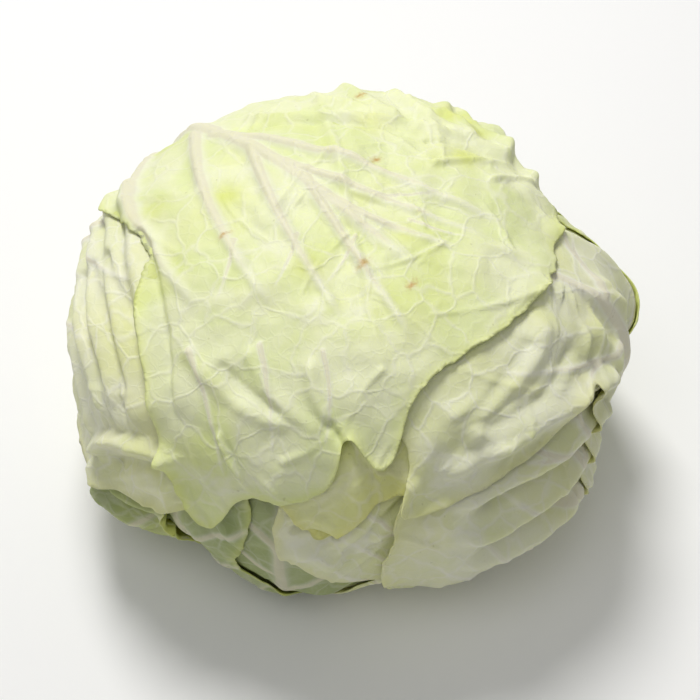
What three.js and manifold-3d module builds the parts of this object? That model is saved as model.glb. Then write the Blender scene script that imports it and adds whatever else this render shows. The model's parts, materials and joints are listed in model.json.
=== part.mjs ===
// A flat-headed cabbage, as cut and trimmed: a heart of tightly packed leaves, a short stalk cut flush,
// and the separate wrapper leaves that start beside the stalk and fold up over the head.
//
// Every surface is a radius about the head's centre, so each leaf is one layer of an onion. The outer
// shape of the whole head is one smooth envelope. A leaf lies under the envelope by one layer for each
// leaf that covers it, which keeps leaves apart wherever they overlap.
//
// Millimetres and degrees. +Z is up, the origin is the centre of the stalk's cut face.
import * as THREE from "three";
import { mergeVertices } from "three/addons/utils/BufferGeometryUtils.js";
import Module from "manifold-3d";

const wasm = await Module();
wasm.setup();

// Driving dimensions of the head.
const HALF_WIDTH = 116;
const HALF_DEPTH = 108;
const HALF_HEIGHT = 77;
const CENTRE_HEIGHT = 70;
const SIDE_SQUARENESS = 2.5;
const FOOT_ROUNDING = 3;

// Shoulders and hollows of the envelope: where they are, how far they rise, how wide they spread.
const SWELLS = [
  { azimuth: 6, elevation: 4, rise: 8, spread: 10 },
  { azimuth: 28, elevation: 17, rise: -14, spread: 16 },
  { azimuth: 211, elevation: -19, rise: 15, spread: 10 },
  { azimuth: 228, elevation: -30, rise: -5, spread: 10 },
  { azimuth: 252, elevation: -33, rise: 12, spread: 14 },
  { azimuth: 312, elevation: -26, rise: 10, spread: 18 },
  { azimuth: 338, elevation: -8, rise: -7, spread: 14 },
];

// Leaf layers.
const LEAF_THICKNESS = 1.6;
const LAYER_GAP = 0.8;
const LAYER_PITCH = LEAF_THICKNESS + LAYER_GAP;
const SKIRT = 11; // degrees past a leaf's margin over which its whole layer is still kept free
const DRAPE = 14; // degrees over which the next leaf then sinks to the layer below
const SKIRT_LOOK = [-14, -7, 0, 7, 14];

// The stalk is a cone about the head's centre, so it stays clear of the leaves at every height.
const STALK_HALF_ANGLE = 13.5;
const STALK_TOP = 46;
const STALK_EDGE = 1.2;
const HEART_SOCKET_HALF_ANGLE = 15;
const STALK_SIDES = 40;

const GRID_DETAIL = 6; // subdivisions of the grid of directions that all the layers share
const OUTLINE_STEP = 7.5;
const STALK_RUN = 22; // degrees to either side over which a blade narrows to the stalk
const CUTTER_RINGS = 7;
const CUTTER_INNER = 12;
const CUTTER_OUTER = 420;
const FAR = 1000;

// The wrapper leaves, from the innermost to the outermost. Azimuth is where the leaf starts beside the
// stalk. Tilt is the angle from the stalk, up over the outside, to the leaf's middle. The blade is how
// far the leaf reaches from that middle, in degrees, and a lobe is [bearing, rise, spread] on its margin:
// bearing 0 is towards the tip and 180 towards the stalk.
const LEAVES = [
  {
    name: "inner_back_leaf", azimuth: 62, tilt: 100, colour: 0xd9dfb6,
    blade: { tip: 68, side: 54, stalk: 84 },
    lobes: [],
  },
  {
    name: "lower_front_leaf", azimuth: 255, tilt: 80, colour: 0xc9cfae,
    blade: { tip: 48, side: 50, stalk: 64 },
    lobes: [],
  },
  {
    name: "lower_corner_leaf", azimuth: 230, tilt: 75, colour: 0xbcc6a0,
    blade: { tip: 42, side: 42, stalk: 59 },
    lobes: [[80, -27, 32]],
  },
  {
    name: "front_leaf", azimuth: 290, tilt: 75, colour: 0xdfe0c2,
    blade: { tip: 50, side: 46, stalk: 59 },
    lobes: [[255, -32, 24]],
  },
  {
    name: "front_right_leaf", azimuth: 325, tilt: 85, colour: 0xe0e0bc,
    blade: { tip: 50, side: 48, stalk: 69 },
    lobes: [[105, 6, 30]],
  },
  {
    name: "under_top_leaf", azimuth: 100, tilt: 165, colour: 0xdfe5b4,
    blade: { tip: 86, side: 60, stalk: 149 },
    lobes: [[16, 14, 7]],
  },
  {
    name: "right_leaf", azimuth: 348, tilt: 125, colour: 0xe4e4cc,
    blade: { tip: 54, side: 54, stalk: 109 },
    lobes: [[232, -32, 16], [268, 12, 6], [145, 8, 20]],
  },
  {
    name: "lower_left_leaf", azimuth: 205, tilt: 80, colour: 0xccd6a4,
    blade: { tip: 35, side: 34, stalk: 64 },
    lobes: [[95, -11, 26], [260, 8, 30]],
  },
  {
    name: "left_leaf", azimuth: 165, tilt: 100, colour: 0xdfe3c4,
    blade: { tip: 62, side: 62, stalk: 84 },
    lobes: [[62, 14, 16], [90, 7, 9], [126, -28, 15]],
  },
  {
    name: "back_right_leaf", azimuth: 30, tilt: 95, colour: 0xdde3b8,
    blade: { tip: 39, side: 45, stalk: 79 },
    lobes: [[300, -22, 26]],
  },
  {
    name: "back_leaf", azimuth: 75, tilt: 95, colour: 0xd6ddb0,
    blade: { tip: 54, side: 54, stalk: 79 },
    lobes: [[75, -6, 22]],
  },
  {
    name: "top_leaf", azimuth: 130, tilt: 165, colour: 0xe2ebb8,
    blade: { tip: 63, side: 68, stalk: 149 },
    lobes: [[50, 18, 14], [71, 22, 5.5], [29, 8, 5], [36, -8, 2.5], [115, -23, 20], [215, 14, 14]],
  },
];

const radians = THREE.MathUtils.degToRad;
const degrees = THREE.MathUtils.radToDeg;

function direction(azimuth, elevation) {
  const up = radians(elevation);
  const around = radians(azimuth);
  return new THREE.Vector3(Math.cos(up) * Math.cos(around), Math.cos(up) * Math.sin(around), Math.sin(up));
}

// A minimum of two lengths with its corner rounded off.
function softMin(a, b, rounding) {
  const least = Math.min(a, b);
  return least - rounding * Math.log(Math.exp((least - a) / rounding) + Math.exp((least - b) / rounding));
}

// The distance from the head's centre to its outside: a squarish ellipsoid with its swells and a flat foot.
function envelopeRadius(d) {
  const level = Math.hypot(d.x / HALF_WIDTH, d.y / HALF_DEPTH) ** SIDE_SQUARENESS;
  const upright = Math.abs(d.z / HALF_HEIGHT) ** SIDE_SQUARENESS;
  let radius = (level + upright) ** (-1 / SIDE_SQUARENESS);
  for (const swell of SWELLS) {
    const away = degrees(d.angleTo(direction(swell.azimuth, swell.elevation)));
    radius += swell.rise * Math.exp(-((away / swell.spread) ** 2) / 2);
  }
  const toFloor = d.z < 0 ? Math.min(CENTRE_HEIGHT / -d.z, FAR) : FAR;
  return softMin(radius, toFloor, FOOT_ROUNDING);
}

// A leaf's own axes: its middle, the way to its tip, and sideways.
function leafAxes(leaf) {
  const tilt = radians(leaf.tilt);
  const out = direction(leaf.azimuth, 0);
  const up = new THREE.Vector3(0, 0, 1);
  return {
    middle: out.clone().multiplyScalar(Math.sin(tilt)).addScaledVector(up, -Math.cos(tilt)),
    tip: out.clone().multiplyScalar(Math.cos(tilt)).addScaledVector(up, Math.sin(tilt)),
    side: direction(leaf.azimuth + 90, 0),
  };
}

// How far the leaf reaches from its middle at a bearing, in degrees.
function reachAt(leaf, bearing) {
  const { tip, side, stalk } = leaf.blade;
  const around = (bearing + 720) % 360;
  let reach = tip + (side - tip) * Math.sin(radians(around)) ** 2;
  reach += (stalk - tip) * Math.exp(-(((around - 180) / STALK_RUN) ** 4));
  for (const [centre, rise, spread] of leaf.lobes) {
    const away = ((around - centre + 540) % 360) - 180;
    reach += rise * Math.exp(-((away / spread) ** 2) / 2);
  }
  return reach;
}

// How much of a leaf's layer is kept free in a direction: 1 over the leaf and its skirt, 0 well away from it.
function coverage(leaf, d) {
  const { middle, tip, side } = leafAxes(leaf);
  const reach = degrees(d.angleTo(middle));
  const bearing = degrees(Math.atan2(d.dot(side), d.dot(tip)));
  const widest = Math.max(...SKIRT_LOOK.map((turn) => reachAt(leaf, bearing + turn)));
  return 1 - THREE.MathUtils.smoothstep(reach, widest + SKIRT, widest + SKIRT + DRAPE);
}

// The grid of directions, with the envelope and every leaf's coverage at each.
const icosahedron = new THREE.IcosahedronGeometry(1, GRID_DETAIL);
icosahedron.deleteAttribute("normal");
icosahedron.deleteAttribute("uv");
const grid = mergeVertices(icosahedron, 1e-4);
const gridFaces = new Uint32Array(grid.index.array);
const gridDirections = Array.from({ length: grid.attributes.position.count }, (_, i) =>
  new THREE.Vector3().fromBufferAttribute(grid.attributes.position, i).normalize(),
);
const envelope = gridDirections.map(envelopeRadius);
const covers = LEAVES.map((leaf) => gridDirections.map((d) => coverage(leaf, d)));

// The outer radius of layer k at grid point i. Layer -1 is the heart.
function layerRadius(k, i) {
  const above = covers.slice(k + 1).reduce((sum, cover) => sum + cover[i], 0);
  return envelope[i] - LAYER_PITCH * above;
}

// A solid from triangles whose corners are Vector3s.
function solidOf(corners, faces) {
  const vertProperties = new Float32Array(corners.flatMap((c) => c.toArray()));
  return new wasm.Manifold(new wasm.Mesh({ numProp: 3, vertProperties, triVerts: faces }));
}

// The closed ball-like solid inside a layer, about the head's centre.
function blob(k, inset) {
  return solidOf(gridDirections.map((d, i) => d.clone().multiplyScalar(layerRadius(k, i) - inset)), gridFaces);
}

// A thick plug with the leaf's outline that runs out from the centre, to cut the leaf from its layer.
function outlineCutter(leaf) {
  const { middle, tip, side } = leafAxes(leaf);
  const spokes = Math.round(360 / OUTLINE_STEP);
  const shell = (radius) => {
    const corners = [middle.clone().multiplyScalar(radius)];
    for (let ring = 1; ring <= CUTTER_RINGS; ring++)
      for (let spoke = 0; spoke < spokes; spoke++) {
        const bearing = spoke * OUTLINE_STEP;
        const reach = radians((reachAt(leaf, bearing) * ring) / CUTTER_RINGS);
        const away = tip.clone().multiplyScalar(Math.cos(radians(bearing)))
          .addScaledVector(side, Math.sin(radians(bearing)));
        corners.push(middle.clone().multiplyScalar(Math.cos(reach)).addScaledVector(away, Math.sin(reach))
          .multiplyScalar(radius));
      }
    return corners;
  };
  const corners = [...shell(CUTTER_OUTER), ...shell(CUTTER_INNER)];
  const half = corners.length / 2;
  const at = (ring, spoke) => 1 + (ring - 1) * spokes + (spoke % spokes);
  const faces = [];
  const face = (a, b, c) => faces.push(a, c, b, half + a, half + b, half + c);
  for (let spoke = 0; spoke < spokes; spoke++) {
    face(0, at(1, spoke), at(1, spoke + 1));
    for (let ring = 1; ring < CUTTER_RINGS; ring++) {
      face(at(ring, spoke), at(ring + 1, spoke), at(ring + 1, spoke + 1));
      face(at(ring, spoke), at(ring + 1, spoke + 1), at(ring, spoke + 1));
    }
    const [a, b] = [at(CUTTER_RINGS, spoke), at(CUTTER_RINGS, spoke + 1)];
    faces.push(a, half + b, half + a, a, b, half + b);
  }
  return solidOf(corners, new Uint32Array(faces));
}

// A solid that turns about the Z axis, with its profile given as [radius, height] from the bottom up.
function turned(profile) {
  const lathe = new THREE.LatheGeometry(profile.map(([r, z]) => new THREE.Vector2(r, z)), STALK_SIDES);
  lathe.rotateX(Math.PI / 2);
  lathe.deleteAttribute("normal");
  lathe.deleteAttribute("uv");
  const merged = mergeVertices(lathe, 1e-4);
  return new wasm.Manifold(new wasm.Mesh({
    numProp: 3,
    vertProperties: new Float32Array(merged.attributes.position.array),
    triVerts: new Uint32Array(merged.index.array),
  }));
}

function coneRadius(halfAngle, height) {
  return (CENTRE_HEIGHT - height) * Math.tan(radians(halfAngle));
}

function meshOf(name, solid, colour) {
  const { numProp, vertProperties, triVerts } = solid.getMesh();
  const position = new Float32Array((vertProperties.length / numProp) * 3);
  for (let i = 0; i < position.length / 3; i++)
    position.set(vertProperties.subarray(i * numProp, i * numProp + 3), i * 3);
  const geometry = new THREE.BufferGeometry();
  geometry.setAttribute("position", new THREE.BufferAttribute(position, 3));
  geometry.setIndex(new THREE.BufferAttribute(new Uint32Array(triVerts), 1));
  geometry.computeVertexNormals();
  const material = new THREE.MeshStandardMaterial({ color: colour, roughness: 0.55, metalness: 0 });
  const mesh = new THREE.Mesh(geometry, material);
  mesh.name = name;
  return mesh;
}

const cabbage = new THREE.Group();

// The leaves and the heart are made about the head's centre, in a group that lifts them to its height.
const head = new THREE.Group();
head.position.z = CENTRE_HEIGHT;
cabbage.add(head);

LEAVES.forEach((leaf, k) => {
  const layer = blob(k, 0).subtract(blob(k, LEAF_THICKNESS));
  head.add(meshOf(leaf.name, layer.intersect(outlineCutter(leaf)), leaf.colour));
});

// The heart, with a socket for the stalk.
const socket = turned([
  [0, -FAR / 10],
  [coneRadius(HEART_SOCKET_HALF_ANGLE, 0) + 20, -FAR / 10],
  [coneRadius(HEART_SOCKET_HALF_ANGLE, 0), 0],
  [coneRadius(HEART_SOCKET_HALF_ANGLE, STALK_TOP + 1), STALK_TOP + 1],
  [0, STALK_TOP + 1],
]).translate([0, 0, -CENTRE_HEIGHT]);
head.add(meshOf("heart", blob(-1, 0).subtract(socket), 0xe6e8c4));

// The cut stalk.
const stalk = turned([
  [0, 0],
  [coneRadius(STALK_HALF_ANGLE, 0) - STALK_EDGE, 0],
  [coneRadius(STALK_HALF_ANGLE, STALK_EDGE), STALK_EDGE],
  [coneRadius(STALK_HALF_ANGLE, STALK_TOP), STALK_TOP],
  [0, STALK_TOP],
]);
cabbage.add(meshOf("stalk", stalk, 0xdcdcbe));

export default cabbage;
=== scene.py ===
"""A flat-headed cabbage in detail, on the CAD frame: wrapper leaves with ribs, folds and curled margins.

Every surface is a radius about the head's centre. The leaves are layers, listed from the innermost to
the outermost. A leaf lies one pitch under each leaf that covers it, a rib lifts its own leaf and every
leaf above, and a crease sinks its own leaf and every leaf below, so no two leaves can cross.
A leaf's map is measured in degrees from its middle: x sideways, y towards the tip.
"""

import json
import math

import bpy
import numpy as np
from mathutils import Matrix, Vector, geometry

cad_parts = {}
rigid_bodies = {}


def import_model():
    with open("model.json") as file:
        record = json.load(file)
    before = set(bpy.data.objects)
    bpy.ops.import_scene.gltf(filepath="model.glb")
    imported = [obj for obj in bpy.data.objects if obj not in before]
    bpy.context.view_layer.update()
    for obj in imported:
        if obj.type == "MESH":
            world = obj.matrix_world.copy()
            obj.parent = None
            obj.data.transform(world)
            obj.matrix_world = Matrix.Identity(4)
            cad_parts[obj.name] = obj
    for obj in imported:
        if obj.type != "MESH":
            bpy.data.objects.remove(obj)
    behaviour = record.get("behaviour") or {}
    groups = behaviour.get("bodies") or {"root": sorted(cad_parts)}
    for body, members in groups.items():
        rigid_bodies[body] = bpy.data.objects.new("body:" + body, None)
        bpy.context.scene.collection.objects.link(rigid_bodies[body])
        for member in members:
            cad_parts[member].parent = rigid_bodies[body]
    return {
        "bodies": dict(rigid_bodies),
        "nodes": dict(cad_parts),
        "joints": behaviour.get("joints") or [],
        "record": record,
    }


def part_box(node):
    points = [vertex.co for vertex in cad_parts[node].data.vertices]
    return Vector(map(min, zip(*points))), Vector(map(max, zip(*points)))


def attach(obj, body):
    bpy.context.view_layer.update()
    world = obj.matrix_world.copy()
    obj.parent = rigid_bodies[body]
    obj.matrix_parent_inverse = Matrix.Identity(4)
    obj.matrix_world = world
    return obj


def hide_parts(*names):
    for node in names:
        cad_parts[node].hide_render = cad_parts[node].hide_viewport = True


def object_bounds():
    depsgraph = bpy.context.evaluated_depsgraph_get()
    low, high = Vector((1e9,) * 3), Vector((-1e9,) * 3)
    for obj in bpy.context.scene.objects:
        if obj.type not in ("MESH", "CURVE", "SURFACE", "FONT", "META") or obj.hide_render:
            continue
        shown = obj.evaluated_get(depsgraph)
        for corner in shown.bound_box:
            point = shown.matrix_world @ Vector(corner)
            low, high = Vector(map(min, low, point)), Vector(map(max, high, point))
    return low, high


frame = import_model()
CAD_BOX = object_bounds()

MM = 0.001
LOW, HIGH = (np.array(corner) / MM for corner in CAD_BOX)
WIDTH, DEPTH, HEIGHT = HIGH - LOW

# The outer shape, as shares of the CAD model's box.
HALF_WIDTH = 0.4926 * WIDTH
HALF_DEPTH = 0.4977 * DEPTH
HALF_HEIGHT = 0.5243 * HEIGHT
CENTRE = 0.4766 * HEIGHT
SQUARENESS = 2.5
FOOT_ROUNDING = 3.0
FOOT_CLEARANCE = 0.4

# Shoulders and hollows: azimuth, elevation, rise in mm, spread in degrees.
SWELLS = [
    (6, 4, 8, 10), (28, 17, -14, 16), (211, -19, 13, 10), (228, -30, -5, 10), (252, -33, 12, 14),
    (312, -26, 10, 18), (338, -8, -7, 14),
]

PITCH = 1.9
THICKNESS = 0.95
MARGIN_THICKNESS = 0.5
SKIRT = 1.0
DRAPE = 9.0
FINE = 0.53
COARSE = 1.7
RIM_STEP = 0.6
ARC_STEPS = 5
STALK_RUN = 22.0


def direction(azimuth, elevation):
    a, e = math.radians(azimuth), math.radians(elevation)
    return np.array([math.cos(e) * math.cos(a), math.cos(e) * math.sin(a), math.sin(e)])


def smooth(x, start, end):
    t = np.clip((x - start) / (end - start), 0, 1)
    return t * t * (3 - 2 * t)


def noise(points, seed):
    """Smooth value noise from -1 to 1, one cell per unit."""
    cell = np.floor(points).astype(np.int64)
    f = points - cell
    f = f * f * f * (f * (6 * f - 15) + 10)
    total = np.zeros(len(points))
    for corner in range(8):
        step = np.array([corner & 1, corner >> 1 & 1, corner >> 2 & 1])
        c = cell + step
        h = (c[:, 0] * 73856093) ^ (c[:, 1] * 19349663) ^ (c[:, 2] * 83492791) ^ (seed * 2654435761)
        h = (h ^ (h >> 13)) * 1274126177 & 0xFFFFFFFF
        h = (h ^ (h >> 16)) & 0xFFFF
        weight = np.prod(np.where(step == 1, f, 1 - f), axis=1)
        total += weight * (h / 32767.5 - 1)
    return total


def fractal(points, seed, octaves=3):
    return sum(noise(points * 2**o, seed + o) / 2**o for o in range(octaves))


def arc(start, end, bow=0.0):
    """Points from start to end on a shallow arc, which bows to the left of the way it runs."""
    (x0, y0), (x1, y1) = start, end
    length = math.hypot(x1 - x0, y1 - y0)
    left_x, left_y = (y0 - y1) / length, (x1 - x0) / length
    points = []
    for step in range(ARC_STEPS + 1):
        t = step / ARC_STEPS
        rise = 4 * bow * t * (1 - t)
        points.append((x0 + (x1 - x0) * t + left_x * rise, y0 + (y1 - y0) * t + left_y * rise))
    return points


def line(size, half_width, start, end, bow=0.0, share=0.7):
    """A fold, crease or rib: its size and half-width in mm, its arc, and the share of it left at its end."""
    return (size, half_width, share, arc(start, end, bow))


# A leaf's blade is its reach towards the tip, to the sides and to the stalk. A lobe is a bearing, how
# far it stands out (or bites in, if negative) and its spread, all in degrees. Spots and lesions are
# how many yellow patches and small brown marks the leaf has.
LEAVES = [
    dict(name="inner_back_leaf", slot="pale_leaf", azimuth=62, tilt=100, blade=(68, 54, 84)),
    dict(
        name="lower_front_leaf", slot="green_leaf", azimuth=255, tilt=80, blade=(48, 50, 64),
        folds=[line(4.0, 6, (-10, 10), (15, 5), 3), line(3.0, 6, (-20, 5), (15, -15), -2)],
    ),
    dict(
        name="lower_corner_leaf", slot="green_leaf", azimuth=230, tilt=75, blade=(42, 42, 59),
        lobes=[(80, -27, 32)],
    ),
    dict(
        name="front_leaf", slot="white_leaf", azimuth=290, tilt=75, blade=(50, 46, 59),
        lobes=[(255, -32, 24)],
        folds=[line(2.8, 4.5, (-25 + 5 * k, 10 + 5 * k), (-10 + 3 * k, 30 + 3 * k), 2) for k in range(3)],
        creases=[line(3.0, 3, (-20, 15), (-5, 30), 2)],
        curls=[(285, 20, 5, 30)],
    ),
    dict(
        name="front_right_leaf", slot="white_leaf", azimuth=325, tilt=85, blade=(50, 48, 69),
        lobes=[(105, 6, 30)],
        folds=[
            *(line(7.5 - 0.6 * k, 5, (10, -12 + 11 * k), (-35, -5 + 10 * k), -5) for k in range(4)),
            *(line(4.0, 5, (15 + 12 * k, 30), (5 + 6 * k, -22), 2) for k in range(2)),
        ],
        creases=[line(4.8, 3, (8, -7 + 13 * k), (-30, 1 + 10 * k), -4) for k in range(3)],
        curls=[(283, 25, 8, 45)],
    ),
    dict(
        name="under_top_leaf", slot="yellow_leaf", azimuth=100, tilt=165, blade=(86, 60, 149),
        lobes=[(16, 14, 7)],
        folds=[line(3.2, 2.1, (38, 85 + 6 * k), (20, 93 + 7 * k), 1) for k in range(2)],
        creases=[line(3.2, 2.0, (36, 90), (21, 97), 1)],
        curls=[(18, 6, 6, 45)],
    ),
    dict(
        name="right_leaf", slot="white_leaf", azimuth=348, tilt=125, blade=(54, 54, 109),
        lobes=[(232, -32, 16), (268, 12, 6), (145, 8, 20)],
        folds=[
            *(line(3.8, 5.5, (-5 - 5 * k, -20 + 11 * k), (-45, 0 + 5 * k), 3) for k in range(3)),
            line(3.0, 6, (5, -15), (-10, 12), 1),
            line(4.0, 6, (12, -30), (12, 5), -5),
        ],
        creases=[line(2.5, 3, (-20, 3), (-45, 8), 1), line(2.5, 3, (-15, -6), (-42, 4), 3)],
        curls=[(268, 6, 8, 60), (235, 20, 6, 45)],
        spots=1,
    ),
    dict(
        name="lower_left_leaf", slot="green_leaf", azimuth=205, tilt=80, blade=(35, 34, 64),
        lobes=[(95, -11, 26), (260, 8, 30)],
        folds=[line(5.5, 3.0, (5, 5 - 8 * k), (24, 4 - 5 * k), -3 - k, 1.0) for k in range(3)],
        creases=[line(4.0, 3.0, (8, 1 - 8 * k), (23, 1 - 5 * k), -3, 1.0) for k in range(2)],
        curls=[(88, 24, 8, 60)],
        spots=2,
    ),
    dict(
        name="left_leaf", slot="white_leaf", azimuth=165, tilt=100, blade=(62, 62, 84),
        lobes=[(62, 14, 16), (90, 7, 9), (126, -28, 15)],
        folds=[
            *(line(3.4, 4, (-6, -4 + 7 * k), (50 + 3 * k, 3 + 5 * k), 10, 1.4) for k in range(4)),
            *(line(3.5, 4.5, (2, -8 - 8 * k), (45, -8 - 8 * k), 6, 0.8) for k in range(2)),
            line(6.0, 3.5, (45, -8), (65, 15), 4, 0.9),
            line(3.5, 4, (55, -12), (66, 8), -1, 1.0),
        ],
        creases=[
            *(line(3.0, 2.5, (14, 4 + 5 * k), (49, 4 + 6 * k), 3) for k in range(4)),
            line(3.5, 3.0, (50, -8), (62, 6), 1, 1.0),
        ],
        curls=[(100, 9, 9, 55), (86, 8, 7, 30), (114, 12, 8, 45)],
        spots=2,
    ),
    dict(
        name="back_right_leaf", slot="pale_leaf", azimuth=30, tilt=95, blade=(39, 45, 79),
        lobes=[(300, -22, 26)],
        folds=[line(3.8, 4, (24 - 18 * k, 15 + 2 * k), (2 - 10 * k, 36 + k), 1) for k in range(3)],
        pitch=1.5,
        curls=[(8, 14, 3, 20)],
        spots=1,
        lesions=3,
    ),
    dict(
        name="back_leaf", slot="pale_leaf", azimuth=75, tilt=95, blade=(54, 54, 79),
        lobes=[(75, -6, 22)],
        midrib=arc((0, -79), (15, 38), -4),
        folds=[line(3.2, 4.2, (14 - 12 * k, 31 - 3 * k), (-5 - 10 * k, 46 - 3 * k), -2) for k in range(4)],
        pitch=1.3,
        spots=2,
    ),
    dict(
        name="top_leaf", slot="pale_leaf", azimuth=130, tilt=165, blade=(63, 68, 149),
        lobes=[(50, 18, 14), (71, 22, 5.5), (29, 8, 5), (36, -8, 2.5), (115, -23, 20), (215, 14, 14)],
        midrib_size=(5.0, 6.0, 0.32),
        midrib=arc((0, -149), (-4, 52), -6),
        ribs=[
            # Main side ribs, from the stalk towards the tip, on the one side and then on the other.
            *(line(3.4 - 0.2 * k, 3.8, (10 - 3 * k, -60 + 19 * k), (46 - 11 * k, 10 + 15 * k), -7 + 2 * k, 0.35)
              for k in range(4)),
            *(line(3.0 - 0.2 * k, 3.6, (5 - 2 * k, -36 + 20 * k), (-36 + 9 * k, 45 - k), -1 - k, 0.35)
              for k in range(3)),
            # Thin ribs between them near the margin.
            *(line(1.0, 1.5, (53 - 10 * k, 12 + 14 * k), (72 - 12 * k, 36 + 9 * k), 2, 0.3) for k in range(3)),
            *(line(0.9, 1.4, (28 - 12 * k, 0 + 11 * k), (43 - 11 * k, 10 + 9 * k), 1, 0.3) for k in range(3)),
            *(line(0.9, 1.4, (-10 - 2 * k, 14 + 13 * k), (-30 + 8 * k, 26 + 14 * k), -1, 0.3) for k in range(2)),
        ],
        folds=[
            *(line(2.6, 2.8, (-6 - 17 * k, -36 + 8 * k), (-42 - 6 * k, 0 + 9 * k), -3, 0.7) for k in range(4)),
            *(line(2.0, 2.3, (-30 - 10 * k, 14 + 11 * k), (-52 - 8 * k, 20 + 6 * k), 1, 0.7) for k in range(2)),
            *(line(2.1, 4.0, (54 - 8 * k, 12 + 14 * k), (50 - 5 * k, 46 + 6 * k), -3, 0.5) for k in range(3)),
            line(2.8, 1.6, (63, 30), (72, 50), -1, 0.6),
        ],
        creases=[
            line(1.6, 1.7, (2, -36), (-35, 5), 2, 0.8),
            line(1.6, 1.8, (-35, 5), (-60, 33), 3, 0.8),
            line(2.6, 2.6, (38, -22), (68, 18), 2, 1.0),
            line(1.6, 3.0, (52, 22), (50, 42), -1, 0.5),
            line(2.2, 2.2, (43, 52), (43, 70), 0, 0.7),
        ],
        curls=[(74, 5, 8, 65), (36, 4, 6, 60), (30, 5, 5, 45), (15, 8, 5, 30), (350, 14, 5, 25)],
        spots=9,
        lesions=6,
    ),
]


class Leaf:
    def __init__(self, index, spec):
        self.index = index
        self.name = spec["name"]
        self.slot = spec["slot"]
        self.tilt = spec["tilt"]
        a, t = math.radians(spec["azimuth"]), math.radians(spec["tilt"])
        out, up = np.array([math.cos(a), math.sin(a), 0]), np.array([0, 0, 1.0])
        self.middle = math.sin(t) * out - math.cos(t) * up
        self.tip = math.cos(t) * out + math.sin(t) * up
        self.side = np.array([-math.sin(a), math.cos(a), 0])
        self.bearings = np.arange(0, 360, 0.25)
        self.even = self.outline(spec["blade"], spec.get("lobes", []))
        self.reaches = self.even + self.ragged()
        self.slopes = np.gradient(self.even, math.radians(0.25))
        rng = np.random.default_rng(200 + index)
        self.spots = [
            (*self.somewhere(rng), rng.uniform(3, 6), rng.uniform(0.4, 1), rng.uniform(0, 0.25))
            for _ in range(spec.get("spots", 0))
        ]
        self.lesions = [(*self.somewhere(rng), rng.uniform(0.9, 1.6)) for _ in range(spec.get("lesions", 0))]
        self.curls = spec.get("curls", [])
        self.folds = spec.get("folds", [])
        self.creases = spec.get("creases", [])
        self.midrib = spec.get("midrib") or [(0, -(self.tilt - 1)), (0, 0), (0, 0.82 * spec["blade"][0])]
        self.midrib_size = spec.get("midrib_size", (3.2, 4.2, 0.3))
        self.pitch = spec.get("pitch", PITCH)
        self.ribs = spec.get("ribs") or self.branches()

    def outline(self, blade, lobes):
        """Reach at every bearing: an oval blade, its run down to the stalk, and the lobes and bites."""
        tip, side, stalk = blade
        reach = tip + (side - tip) * np.sin(np.radians(self.bearings)) ** 2
        reach += (stalk - tip) * np.exp(-((self.bearings - 180) / STALK_RUN) ** 4)
        for bearing, rise, spread in lobes:
            away = (self.bearings - bearing + 180) % 360 - 180
            reach += rise * np.exp(-((away / spread) ** 2) / 2)
        return reach

    def somewhere(self, rng):
        """A point on the map at random, inside the margin and not on the run to the stalk."""
        bearing = rng.uniform(-130, 130)
        reach = rng.uniform(0.25, 0.9) * np.interp(bearing % 360, self.bearings, self.even)
        return reach * math.sin(math.radians(bearing)), reach * math.cos(math.radians(bearing))

    def ragged(self):
        """How far the real margin strays from the smooth curve."""
        turn = np.radians(self.bearings)
        ring = np.stack([np.cos(turn), np.sin(turn), np.full_like(turn, 0.37 * self.index)], 1)
        return 0.7 * noise(ring * 9, 11) + 0.35 * noise(ring * 26, 12) + 0.15 * noise(ring * 60, 13)

    def branches(self):
        """Side ribs that leave the midrib in pairs and bend towards the tip."""
        rng = np.random.default_rng(40 + self.index)
        low, high = -(self.tilt - 30), self.midrib[-1][1]
        ribs = []
        for side in (-1, 1):
            for step in range(6):
                start = low + (high - low) * (step + 0.3 + 0.25 * side + 0.2 * rng.random()) / 6
                reach = 30 + 12 * rng.random() - 3 * step
                points = [(side * reach * u, start + reach * (0.45 * u + 0.5 * u * u)) for u in (0, 0.35, 0.7, 1)]
                ribs.append((1.9 - 0.15 * step, 1.8, 0.3, points))
                fork = points[1]
                ribs.append((0.9, 1.2, 0.3, [fork, (fork[0] + side * reach * 0.3, fork[1] + reach * 0.1)]))
        return ribs

    def place(self, d):
        """Bearing and reach of directions, and their x and y on the map."""
        reach = np.degrees(np.arccos(np.clip(d @ self.middle, -1, 1)))
        turn = np.arctan2(d @ self.side, d @ self.tip)
        return np.degrees(turn) % 360, reach, reach * np.sin(turn), reach * np.cos(turn)

    def margin(self, bearing, reach, real=False):
        """Degrees inside the smooth or the real margin, and the margin's slope there."""
        edge = np.interp(bearing, self.bearings, self.reaches if real else self.even, period=360)
        slope = np.interp(bearing, self.bearings, self.slopes, period=360) / np.maximum(reach, 8)
        return (edge - reach) / np.sqrt(1 + slope**2), slope

    def unmap(self, x, y):
        reach, turn = np.radians(np.hypot(x, y)), np.arctan2(x, y)
        away = np.cos(turn)[:, None] * self.tip + np.sin(turn)[:, None] * self.side
        return np.cos(reach)[:, None] * self.middle + np.sin(reach)[:, None] * away


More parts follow.
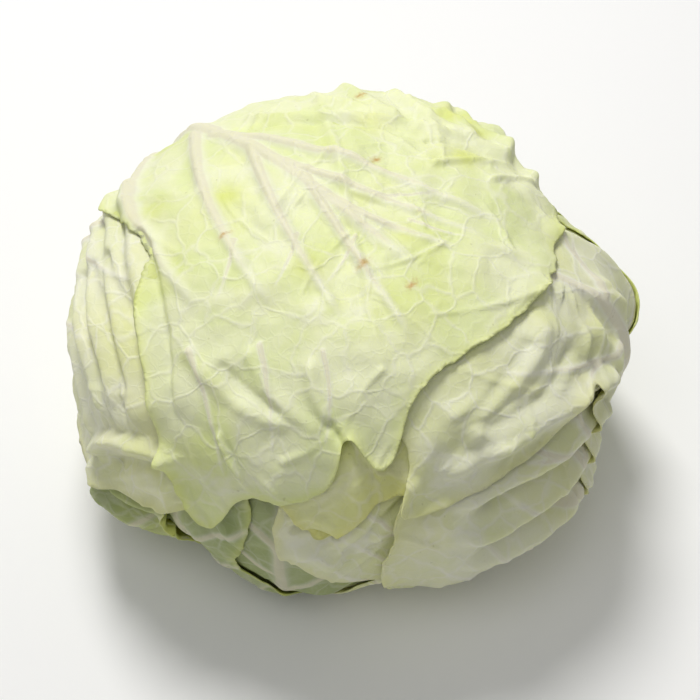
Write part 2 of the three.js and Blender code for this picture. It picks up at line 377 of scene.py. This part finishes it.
def stroke(x, y, reach, points, half_width, end, squeeze=True):
    """How strongly a line on the map is felt: 1 on it at its start, fading to both sides and to its end."""
    pts = smooth_line(points)
    width = half_width / 1.9
    lo, hi = pts.min(0) - 3.2 * width, pts.max(0) + 3.2 * width
    near = np.nonzero((x > lo[0]) & (x < hi[0]) & (y > lo[1]) & (y < hi[1]))[0]
    felt = np.zeros(len(x))
    if not len(near):
        return felt
    px, py = x[near], y[near]
    best = np.full(len(near), 1e9)
    along = np.zeros(len(near))
    lengths = np.hypot(*np.diff(pts, axis=0).T)
    total, done = lengths.sum(), 0.0
    for a, b, length in zip(pts[:-1], pts[1:], lengths):
        ux, uy = (b - a) / max(length, 1e-6)
        t = np.clip((px - a[0]) * ux + (py - a[1]) * uy, 0, length)
        dist = np.hypot(px - a[0] - t * ux, py - a[1] - t * uy)
        closer = dist < best
        best = np.where(closer, dist, best)
        along = np.where(closer, (done + t) / total, along)
        done += length
    taper = 1 + (end - 1) * along
    last = smooth(along, 1.0, 0.86)
    felt[near] = taper * last * np.exp(-((best / (width * (0.55 + 0.45 * taper))) ** 2))
    return felt


def smooth_line(points, steps=4):
    """Catmull-Rom through the points."""
    p = np.array(points, float)
    if len(p) < 3:
        return p
    p = np.vstack([2 * p[0] - p[1], p, 2 * p[-1] - p[-2]])
    t = np.linspace(0, 1, steps, endpoint=False)[:, None]
    line = [
        0.5 * (2 * b + (c - a) * t + (2 * a - 5 * b + 4 * c - d) * t**2 + (3 * b - a - 3 * c + d) * t**3)
        for a, b, c, d in zip(p, p[1:], p[2:], p[3:])
    ]
    return np.vstack([*line, p[-2:-1]])


leaves = [Leaf(i, spec) for i, spec in enumerate(LEAVES)]


def outside(d):
    """The head's outer radius, without its flat foot."""
    level = np.hypot(d[:, 0] / HALF_WIDTH, d[:, 1] / HALF_DEPTH) ** SQUARENESS
    radius = (level + np.abs(d[:, 2] / HALF_HEIGHT) ** SQUARENESS) ** (-1 / SQUARENESS)
    for azimuth, elevation, rise, spread in SWELLS:
        away = np.degrees(np.arccos(np.clip(d @ direction(azimuth, elevation), -1, 1)))
        radius += rise * np.exp(-((away / spread) ** 2) / 2)
    lumps = 1.5 * noise(d * 3.1, 3) + 0.9 * noise(d * 6.5, 5)
    return radius + lumps


def relief(leaf, d):
    """What one leaf does to the layers: cover, lift of it and those above, sink of it and those below, ribs."""
    bearing, reach, x, y = leaf.place(d)
    inside, _ = leaf.margin(bearing, reach)
    cover = 1 - smooth(-inside, SKIRT, SKIRT + DRAPE)
    rib = np.zeros(len(d))
    lift = np.zeros(len(d))
    for k, (height, width, end, points) in enumerate([(*leaf.midrib_size, leaf.midrib), *leaf.ribs]):
        felt = stroke(x, y, reach, points, width, end)
        lift = np.maximum(lift, height * felt)
        rib = np.maximum(rib, np.clip(felt * (2.2 if k == 0 else 1.5), 0, 1))
    fold = np.zeros(len(d))
    for height, width, end, points in leaf.folds:
        fold = np.maximum(fold, height * stroke(x, y, reach, points, width, end))
    sink = np.zeros(len(d))
    for depth, width, end, points in leaf.creases:
        sink = np.maximum(sink, depth * stroke(x, y, reach, points, width, end))
    blister = 0.9 * smooth(noise(d * 8, 70 + leaf.index), -0.5, 0.9) * (1 - rib)
    pucker = 0.16 * smooth(noise(d * 20, 90 + leaf.index), -0.4, 0.8) * (1 - rib)
    near_foot = smooth(-d[:, 2], 0.5, 0.85)
    sink = sink + 1.6 * near_foot * (1 - np.clip(rib * 1.3, 0, 1)) * smooth(inside, 0, 6)
    raised = (lift + blister + pucker) * smooth(inside, -2, 3) + fold * smooth(inside, -1, 9)
    return cover, raised, sink * cover, rib


def layer(index, d):
    """The outer radius of a layer in each direction, its rib mask and how much it is covered."""
    radius = outside(d)
    foot = (CENTRE - FOOT_CLEARANCE) / np.maximum(-d[:, 2], 0.05)
    covered = np.zeros(len(d))
    own_rib = np.zeros(len(d))
    for leaf in leaves:
        cover, lift, sink, rib = relief(leaf, d)
        if leaf.index > index:
            radius -= leaf.pitch * cover
            foot -= leaf.pitch * cover + lift
            covered = np.maximum(covered, cover)
        else:
            radius += lift
        if leaf.index >= index:
            radius -= sink
            foot -= sink
        if leaf.index == index:
            own_rib = rib
    least = np.minimum(radius, foot)
    k = FOOT_ROUNDING
    blend = least - k * np.log(np.exp((least - radius) / k) + np.exp((least - foot) / k))
    return blend, own_rib, covered


def triangulate(rim, inner):
    """Triangles of the rim polygon with the inner points in it."""
    points = np.vstack([rim, inner])
    n = len(rim)
    verts, _, faces, _, _, _ = geometry.delaunay_2d_cdt(
        [Vector(p) for p in points], [], [list(range(n))], 1, 1e-5
    )
    if len(verts) != len(points):
        raise SystemExit("the mesher merged points")
    return points, np.array([f[:] for f in faces], int)


def hexes(extent, step, rng):
    xs = np.arange(-extent, extent, step)
    ys = np.arange(-extent, extent, step * 0.866)
    gx, gy = np.meshgrid(xs, ys)
    gx = gx + 0.5 * step * (np.arange(len(ys)) % 2)[:, None]
    points = np.stack([gx.ravel(), gy.ravel()], 1)
    return points + rng.uniform(-0.12, 0.12, points.shape) * step


def bury(leaf, points):
    """True where a point of the leaf lies well under a leaf above."""
    d = leaf.unmap(points[:, 0], points[:, 1])
    under = np.zeros(len(d), bool)
    for other in leaves[leaf.index + 1:]:
        bearing, reach, _, _ = other.place(d)
        under |= other.margin(bearing, reach)[0] > 3
    return under


def rim_points(leaf):
    turn = np.radians(leaf.bearings)
    loop = np.stack([leaf.reaches * np.sin(turn), leaf.reaches * np.cos(turn)], 1)
    loop = np.vstack([loop, loop[:1]])
    run = np.insert(np.cumsum(np.hypot(*np.diff(loop, axis=0).T)), 0, 0)
    count = int(run[-1] / RIM_STEP)
    at = np.linspace(0, run[-1], count, endpoint=False)
    return np.stack([np.interp(at, run, loop[:, 0]), np.interp(at, run, loop[:, 1])], 1)


def inside_points(leaf, points, clear):
    bearing = np.degrees(np.arctan2(points[:, 0], points[:, 1])) % 360
    reach = np.hypot(points[:, 0], points[:, 1])
    return points[leaf.margin(bearing, reach, real=True)[0] > clear]


def leaf_surface(leaf, points, inner):
    """Places of map points on the leaf's outer or inner face, and their colour masks."""
    d = leaf.unmap(points[:, 0], points[:, 1])
    bearing, reach, x, y = leaf.place(d)
    inside, slope = leaf.margin(bearing, reach, real=True)
    inside = np.maximum(inside, 0)
    radius, rib, covered = layer(leaf.index, d)
    turn = np.radians(bearing)
    cos, sin = np.cos(turn)[:, None], np.sin(turn)[:, None]
    spread = np.radians(reach)[:, None]
    outward = -np.sin(spread) * leaf.middle + np.cos(spread) * (cos * leaf.tip + sin * leaf.side)
    across = -sin * leaf.tip + cos * leaf.side
    tangent = outward - slope[:, None] * across
    tangent /= np.linalg.norm(tangent, axis=1)[:, None]
    to_edge = inside * math.pi / 180 * radius
    bend = np.zeros(len(d))
    length = np.full(len(d), 1e-6)
    for at, span, size, angle in leaf.curls:
        share = np.exp(-(((bearing - at + 180) % 360 - 180) / span) ** 2)
        stronger = share * math.radians(angle) / size
        length = np.where(stronger > bend, size, length)
        bend = np.maximum(bend, stronger)
    ruffle = noise(d * 14, 300 + leaf.index) * (1 - covered)
    bend = bend + 0.012 * np.clip(ruffle + 0.3, 0, 1)
    length = np.maximum(length, 5.0)
    past = np.clip(length - to_edge, 0, None)
    bend = np.maximum(bend, 1e-5)
    angle = bend * past
    slide = np.sin(angle) / bend - past
    rise = (1 - np.cos(angle)) / bend
    thickness = MARGIN_THICKNESS + (THICKNESS - MARGIN_THICKNESS) * smooth(to_edge, 0, 6)
    place = d * (radius + rise)[:, None] + tangent * slide[:, None]
    if inner:
        place -= thickness[:, None] * (d * np.cos(angle)[:, None] - tangent * np.sin(angle)[:, None])
    place[:, 2] = np.maximum(place[:, 2] + CENTRE, FOOT_CLEARANCE)
    yellow = 0.35 * smooth(to_edge, 7, 0) * (1 - smooth(-d[:, 2], 0.3, 0.6))
    brown = np.zeros(len(d))
    for sx, sy, size, amount, brownish in leaf.spots:
        felt = np.exp(-(((x - sx) ** 2 + (y - sy) ** 2) / size**2))
        yellow = np.maximum(yellow, amount * felt)
        brown = np.maximum(brown, 0.35 * brownish * felt)
    for sx, sy, size in leaf.lesions:
        wobble = 1 + 0.5 * noise(d * 120, 8)
        brown = np.maximum(brown, 1.0 * np.exp(-(((x - sx) / 2.2) ** 2 + (y - sy) ** 2) / (size * wobble * 0.6) ** 2))
    base = smooth(-d[:, 2], 0.35, 0.95)
    masks = np.stack([rib, yellow, np.clip(brown, 0, 1), np.full(len(d), 1.0 if inner else 0.0)], 1)
    more = np.stack([smooth(to_edge, 3, 0), base, covered, np.ones(len(d))], 1)
    return place * MM, masks, more


def make_mesh(name, places, faces, masks, more):
    mesh = bpy.data.meshes.new(name)
    mesh.vertices.add(len(places))
    mesh.vertices.foreach_set("co", places.astype(np.float32).ravel())
    mesh.loops.add(len(faces) * 3)
    mesh.loops.foreach_set("vertex_index", faces.astype(np.int32).ravel())
    mesh.polygons.add(len(faces))
    mesh.polygons.foreach_set("loop_start", np.arange(0, len(faces) * 3, 3, dtype=np.int32))
    mesh.update(calc_edges=True)
    mesh.validate()
    for key, values in (("masks", masks), ("more", more)):
        layer_data = mesh.attributes.new(key, "FLOAT_COLOR", "POINT")
        layer_data.data.foreach_set("color", values.astype(np.float32).ravel())
    mesh.polygons.foreach_set("use_smooth", np.ones(len(mesh.polygons), bool))
    piece = bpy.data.objects.new(name, mesh)
    bpy.context.scene.collection.objects.link(piece)
    return piece


def leaf_piece(leaf):
    rng = np.random.default_rng(900 + leaf.index)
    rim = rim_points(leaf)
    extent = leaf.reaches.max() + 1
    fine = inside_points(leaf, hexes(extent, FINE, rng), 0.55 * FINE)
    coarse = inside_points(leaf, hexes(extent, COARSE, rng), 0.6 * COARSE)
    outer = np.vstack([fine[~bury(leaf, fine)], coarse[bury(leaf, coarse)]])
    out_points, out_faces = triangulate(rim, outer)
    in_points, in_faces = triangulate(rim, coarse)
    out_places, out_masks, out_more = leaf_surface(leaf, out_points, False)
    in_places, in_masks, in_more = leaf_surface(leaf, in_points, True)
    turned = np.cross(leaf.side, leaf.tip) @ leaf.middle < 0
    if turned:
        out_faces = out_faces[:, ::-1]
    else:
        in_faces = in_faces[:, ::-1]
    n, shift = len(rim), len(out_points)
    a = np.arange(n)
    b = (a + 1) % n
    side = np.vstack([np.stack([a, a + shift, b + shift], 1), np.stack([a, b + shift, b], 1)])
    if not turned:
        side = side[:, ::-1]
    faces = np.vstack([out_faces, in_faces + shift, side])
    return make_mesh(
        f"{leaf.name}_detail", np.vstack([out_places, in_places]), faces,
        np.vstack([out_masks, in_masks]), np.vstack([out_more, in_more]),
    )


# Materials

def colour(red, green, blue):
    """A colour given as it looks on screen."""
    return tuple((c / 12.92 if c <= 0.04045 else ((c + 0.055) / 1.055) ** 2.4) for c in (red, green, blue)) + (1,)


class Nodes:
    """A small helper for building a material's nodes."""

    def __init__(self, name):
        self.material = bpy.data.materials.new(name)
        self.material.use_nodes = True
        self.tree = self.material.node_tree
        self.shader = self.tree.nodes["Principled BSDF"]

    def put(self, value, socket):
        if isinstance(value, bpy.types.NodeSocket):
            self.tree.links.new(value, socket)
        else:
            socket.default_value = value

    def add(self, kind, inputs=None, **settings):
        node = self.tree.nodes.new(kind)
        for key, value in settings.items():
            setattr(node, key, value)
        for key, value in (inputs or {}).items():
            self.put(value, node.inputs[key])
        return node

    def mix(self, factor, a, b, blend="MIX"):
        node = self.add("ShaderNodeMix", data_type="RGBA", blend_type=blend)
        self.put(factor, node.inputs[0])
        self.put(a, node.inputs[6])
        self.put(b, node.inputs[7])
        return node.outputs[2]

    def maths(self, operation, a, b=0.0, clamp=False):
        node = self.add("ShaderNodeMath", operation=operation, use_clamp=clamp)
        self.put(a, node.inputs[0])
        self.put(b, node.inputs[1])
        return node.outputs[0]

    def band(self, value, start, end):
        node = self.add("ShaderNodeMapRange", {"Value": value, "From Min": start, "From Max": end})
        node.interpolation_type = "SMOOTHSTEP"
        return node.outputs[0]

    def noise(self, scale, detail=3, rough=0.5, distortion=0.0):
        where = self.add("ShaderNodeTexCoord").outputs["Object"]
        return self.add(
            "ShaderNodeTexNoise",
            {"Vector": where, "Scale": scale, "Detail": detail, "Roughness": rough, "Distortion": distortion},
        ).outputs["Fac"]

    def net(self, scale, seed):
        """Distance to the lines of an irregular net."""
        where = self.add("ShaderNodeTexCoord").outputs["Object"]
        warp = self.add("ShaderNodeTexNoise", {"Vector": where, "Scale": scale * 0.9, "Detail": 2.0})
        push = self.add("ShaderNodeVectorMath", {0: warp.outputs["Color"], 1: (0.5, 0.5, 0.5)}, operation="SUBTRACT")
        push = self.add("ShaderNodeVectorMath", {0: push.outputs[0], "Scale": 0.8 / scale}, operation="SCALE")
        moved = self.add("ShaderNodeVectorMath", {0: where, 1: push.outputs[0]}, operation="ADD")
        moved = self.add("ShaderNodeVectorMath", {0: moved.outputs[0], 1: (seed, 0, 0)}, operation="ADD")
        return self.add(
            "ShaderNodeTexVoronoi", {"Vector": moved.outputs[0], "Scale": scale}, feature="DISTANCE_TO_EDGE"
        ).outputs["Distance"]


def leaf_material(name, panel, deep, rib, yellow, seed):
    n = Nodes(name)
    masks = n.add("ShaderNodeAttribute", attribute_name="masks")
    split = n.add("ShaderNodeSeparateColor", {"Color": masks.outputs["Color"]})
    more = n.add("ShaderNodeAttribute", attribute_name="more")
    split2 = n.add("ShaderNodeSeparateColor", {"Color": more.outputs["Color"]})
    rib_mask, yellow_mask, brown_mask = split.outputs[0], split.outputs[1], split.outputs[2]
    inner_mask = masks.outputs["Alpha"]
    edge_mask, base_mask = split2.outputs[0], split2.outputs[1]
    blotch = n.band(n.noise(26 + seed, 4, 0.55, 0.4), 0.38, 0.66)
    tint = n.mix(blotch, panel, deep)
    patch = n.band(n.noise(13 + seed, 2, 0.5, 0.8), 0.45, 0.72)
    tint = n.mix(n.maths("MULTIPLY", patch, 0.35), tint, yellow)
    net = n.net(62, 0.1 * seed)
    fine_net = n.net(190, 0.3 + 0.1 * seed)
    net_line = n.band(net, 0.07, 0.0)
    fine_line = n.band(fine_net, 0.12, 0.0)
    tint = n.mix(n.maths("MULTIPLY", net_line, 0.35), tint, rib)
    tint = n.mix(n.maths("MULTIPLY", fine_line, 0.10), tint, rib)
    tint = n.mix(n.maths("MULTIPLY", yellow_mask, 0.75), tint, yellow)
    whiter = n.maths("MAXIMUM", n.band(rib_mask, 0.05, 0.8), n.maths("MULTIPLY", base_mask, 0.7))
    tint = n.mix(n.maths("MULTIPLY", whiter, 0.6), tint, rib)
    crest = n.maths("MULTIPLY", n.band(rib_mask, 0.62, 0.95), n.band(base_mask, 0.5, 0.0))
    tint = n.mix(n.maths("MULTIPLY", crest, 0.55), tint, colour(0.86, 0.83, 0.73))
    tint = n.mix(n.maths("MULTIPLY", edge_mask, 0.25), tint, yellow)
    tint = n.mix(n.maths("MULTIPLY", inner_mask, 0.45), tint, yellow)
    brown_noise = n.band(n.noise(260, 3, 0.6), 0.3, 0.6)
    tint = n.mix(n.maths("MULTIPLY", brown_mask, brown_noise), tint, colour(0.76, 0.62, 0.38))
    speck = n.band(n.noise(420, 1, 0.4), 0.76, 0.82)
    tint = n.mix(n.maths("MULTIPLY", speck, 0.25), tint, colour(0.62, 0.60, 0.40))
    n.put(tint, n.shader.inputs["Base Color"])
    n.put(n.maths("ADD", 0.42, n.maths("MULTIPLY", n.noise(55, 3), 0.22)), n.shader.inputs["Roughness"])
    n.shader.inputs["IOR"].default_value = 1.42
    n.shader.inputs["Specular IOR Level"].default_value = 0.42
    n.shader.inputs["Subsurface Weight"].default_value = 0.22
    n.shader.inputs["Subsurface Radius"].default_value = (0.006, 0.006, 0.0025)
    n.shader.inputs["Subsurface Scale"].default_value = 0.5
    height = n.maths("ADD", n.maths("MULTIPLY", net_line, 0.35), n.maths("MULTIPLY", fine_line, 0.12))
    height = n.maths("ADD", height, n.maths("MULTIPLY", n.noise(120, 4, 0.6), 0.5))
    height = n.maths("ADD", height, n.maths("MULTIPLY", n.noise(900, 2, 0.5), 0.06))
    bump = n.add("ShaderNodeBump", {"Strength": 0.5, "Distance": 0.0008, "Height": height})
    n.put(bump.outputs[0], n.shader.inputs["Normal"])
    return n.material


PANEL = colour(0.905, 0.92, 0.745)
LEAF_LOOKS = {
    "pale_leaf": (PANEL, colour(0.86, 0.893, 0.655), colour(0.925, 0.925, 0.83), colour(0.83, 0.87, 0.42)),
    "yellow_leaf": (colour(0.90, 0.91, 0.68), colour(0.86, 0.87, 0.58), colour(0.93, 0.92, 0.80),
                    colour(0.87, 0.86, 0.50)),
    "white_leaf": (colour(0.90, 0.905, 0.78), colour(0.87, 0.885, 0.68), colour(0.94, 0.935, 0.875),
                   colour(0.88, 0.88, 0.60)),
    # The low front leaves: their own greener colour, made darker still as painted shade, the shade under the head
    # that the pale floor would light up.
    "green_leaf": (colour(0.66, 0.70, 0.50), colour(0.58, 0.63, 0.40), colour(0.80, 0.81, 0.70),
                   colour(0.84, 0.87, 0.50)),
}


def finish_piece(piece, node, material):
    piece.data.materials.append(material)
    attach(piece, "root")
    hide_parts(node)


for number, leaf in enumerate(leaves):
    piece = leaf_piece(leaf)
    finish_piece(piece, leaf.name, leaf_material(f"{leaf.name}_skin", *LEAF_LOOKS[leaf.slot], number))
    print(leaf.name, len(piece.data.polygons))

# The heart: the innermost layer, closed around the stalk.
SOCKET = 15.5
HEART_SIDES = 180
HEART_RINGS = 90


def ring_faces(rings, sides, first, last):
    """Faces of a stack of rings, closed by a point at each end, seen from outside when it turns upwards."""
    faces = []
    for ring in range(rings - 1):
        for i in range(sides):
            a, b = ring * sides + i, ring * sides + (i + 1) % sides
            faces += [(a, b, b + sides), (a, b + sides, a + sides)]
    for i in range(sides):
        faces.append((first, (i + 1) % sides, i))
        faces.append((last, (rings - 1) * sides + i, (rings - 1) * sides + (i + 1) % sides))
    return np.array(faces)


def plain_masks(count, rib=0.0, base=0.0):
    masks = np.zeros((count, 4))
    masks[:, 0] = rib
    more = np.zeros((count, 4))
    more[:, 1] = base
    more[:, 3] = 1
    return masks, more


turns = np.linspace(0, 2 * math.pi, HEART_SIDES, endpoint=False)
socket_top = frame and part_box("stalk")[1][2] / MM + 1.0
lows = np.linspace(-90 + SOCKET, 89, HEART_RINGS)
grid = np.array([direction(math.degrees(t), low) for low in lows for t in turns])
radius, _, _ = layer(-1, grid)
outer = grid * radius[:, None] + [0, 0, CENTRE]
outer[:, 2] = np.maximum(outer[:, 2], FOOT_CLEARANCE)
cone = math.tan(math.radians(SOCKET))
wall = [
    [math.cos(t) * (CENTRE - z) * cone, math.sin(t) * (CENTRE - z) * cone, z]
    for z in (socket_top, 0.6 * socket_top, 0.3 * socket_top) for t in turns
]
places = np.vstack([wall, outer, [[0, 0, socket_top]], [[0, 0, CENTRE + layer(-1, np.array([[0, 0, 1.0]]))[0][0]]]])
rings = HEART_RINGS + 3
faces = ring_faces(rings, HEART_SIDES, len(places) - 2, len(places) - 1)
heart = make_mesh("heart_detail", places * MM, faces, *plain_masks(len(places)))
finish_piece(heart, "heart", leaf_material("heart_skin", *LEAF_LOOKS["pale_leaf"], 20))

# The cut stalk.
STALK_SIDES = 120
stalk_low, stalk_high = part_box("stalk")
stalk_radius = (stalk_high[0] - stalk_low[0]) / 2 / MM
stalk_top = stalk_high[2] / MM
profile = [(r * stalk_radius, 0.0) for r in (0.06, 0.15, 0.25, 0.35, 0.45, 0.55, 0.65, 0.74, 0.82, 0.88, 0.93, 0.965)]
profile += [(0.99 * stalk_radius, 0.5), (1.0 * stalk_radius, 1.4)]
for z in np.linspace(3, stalk_top, 24):
    profile.append(((CENTRE - z) * stalk_radius / CENTRE, z))
stalk_places = []
for number, (r, z) in enumerate(profile):
    for t in np.linspace(0, 2 * math.pi, STALK_SIDES, endpoint=False):
        around = np.array([[math.cos(t) * 2.0, math.sin(t) * 2.0, z / 9]])
        wobble = 1 - 0.03 * (1 + noise(around, 21)[0]) - 0.012 * (1 + noise(around * 5, 22)[0])
        face = z <= 0.0
        score = noise(np.array([[r * math.cos(t) * 0.25, r * math.sin(t) * 1.3, 5.0]]), 23)[0]
        dish = 0.45 * max(0.0, 1 - abs(r / stalk_radius - 0.62) / 0.16) + 0.18 * (score + 1) if face else 0.0
        edge = 0.0 if 0.8 < r / stalk_radius < 0.9 and face else dish
        stalk_places.append((r * wobble * math.cos(t), r * wobble * math.sin(t), z + edge))
stalk_places += [(0, 0, 0.2), (0, 0, stalk_top)]
stalk_places = np.array(stalk_places)
faces = ring_faces(len(profile), STALK_SIDES, len(stalk_places) - 2, len(stalk_places) - 1)
stalk = make_mesh("stalk_detail", stalk_places * MM, faces, *plain_masks(len(stalk_places)))


def stalk_material():
    n = Nodes("cut_stalk_flesh")
    where = n.add("ShaderNodeTexCoord").outputs["Object"]
    flat = n.add("ShaderNodeVectorMath", {0: where, 1: (1, 1, 0)}, operation="MULTIPLY")
    out = n.add("ShaderNodeVectorMath", {0: flat.outputs[0]}, operation="LENGTH").outputs["Value"]
    out = n.maths("ADD", out, n.maths("MULTIPLY", n.maths("SUBTRACT", n.noise(160, 3), 0.5), 0.003))
    wood = n.maths("MULTIPLY", n.band(out, 0.0085, 0.0105), n.band(out, 0.0135, 0.0115))
    tint = n.mix(n.noise(240, 4), colour(0.90, 0.89, 0.78), colour(0.84, 0.82, 0.66))
    tint = n.mix(n.maths("MULTIPLY", wood, 0.6), tint, colour(0.80, 0.79, 0.60))
    fibres = n.band(n.noise(900, 2), 0.52, 0.66)
    tint = n.mix(n.maths("MULTIPLY", n.maths("MULTIPLY", fibres, wood), 0.7), tint, colour(0.68, 0.62, 0.42))
    browned = n.band(n.noise(95, 4, 0.6), 0.5, 0.68)
    tint = n.mix(n.maths("MULTIPLY", browned, 0.55), tint, colour(0.66, 0.50, 0.30))
    rim = n.band(out, 0.0145, 0.0165)
    tint = n.mix(n.maths("MULTIPLY", rim, 0.5), tint, colour(0.62, 0.52, 0.34))
    n.put(tint, n.shader.inputs["Base Color"])
    n.shader.inputs["Roughness"].default_value = 0.72
    n.shader.inputs["IOR"].default_value = 1.4
    height = n.maths("ADD", n.noise(420, 4), n.maths("MULTIPLY", fibres, 0.4))
    bump = n.add("ShaderNodeBump", {"Strength": 0.6, "Distance": 0.0008, "Height": height})
    n.put(bump.outputs[0], n.shader.inputs["Normal"])
    return n.material


finish_piece(stalk, "stalk", stalk_material())

# Floor, light and camera.
bpy.ops.mesh.primitive_plane_add(size=6, location=(0, 0, 0))
floor = bpy.context.object
floor.name = "floor"
ground = Nodes("floor_paper")
ground.put(
    ground.mix(ground.noise(3, 2), colour(0.955, 0.955, 0.955), colour(0.965, 0.965, 0.965)),
    ground.shader.inputs["Base Color"],
)
ground.shader.inputs["Roughness"].default_value = 0.9
floor.data.materials.append(ground.material)

world = bpy.data.worlds.new("studio")
bpy.context.scene.world = world
world.use_nodes = True
world.node_tree.nodes["Background"].inputs["Color"].default_value = (1, 1, 1, 1)
world.node_tree.nodes["Background"].inputs["Strength"].default_value = 0.27


def area_light(name, azimuth, elevation, distance, size, power, tone=(1, 1, 1)):
    lamp = bpy.data.lights.new(name, "AREA")
    lamp.energy = power
    lamp.shape = "DISK"
    lamp.size = size
    lamp.color = tone
    holder = bpy.data.objects.new(name, lamp)
    bpy.context.scene.collection.objects.link(holder)
    holder.location = Vector(direction(azimuth, elevation)) * distance
    aim = Vector((0, 0, CENTRE * MM)) - holder.location
    holder.rotation_euler = aim.to_track_quat("-Z", "Y").to_euler()


area_light("key", 108, 66, 1.4, 0.45, 13.5, (1.0, 0.99, 0.97))
area_light("fill", 240, 70, 1.6, 0.9, 3.5)

TARGET = Vector((0, -7, 65)) * MM
CAMERA_DISTANCE = 0.7
camera_data = bpy.data.cameras.new("camera")
camera_data.lens = 84.03
camera_data.sensor_width = 36
camera = bpy.data.objects.new("camera", camera_data)
bpy.context.scene.collection.objects.link(camera)
camera.location = TARGET + Vector(direction(270, 55)) * CAMERA_DISTANCE
camera.rotation_euler = (TARGET - camera.location).to_track_quat("-Z", "Y").to_euler()
bpy.context.scene.camera = camera
bpy.context.scene.view_settings.view_transform = "Standard"
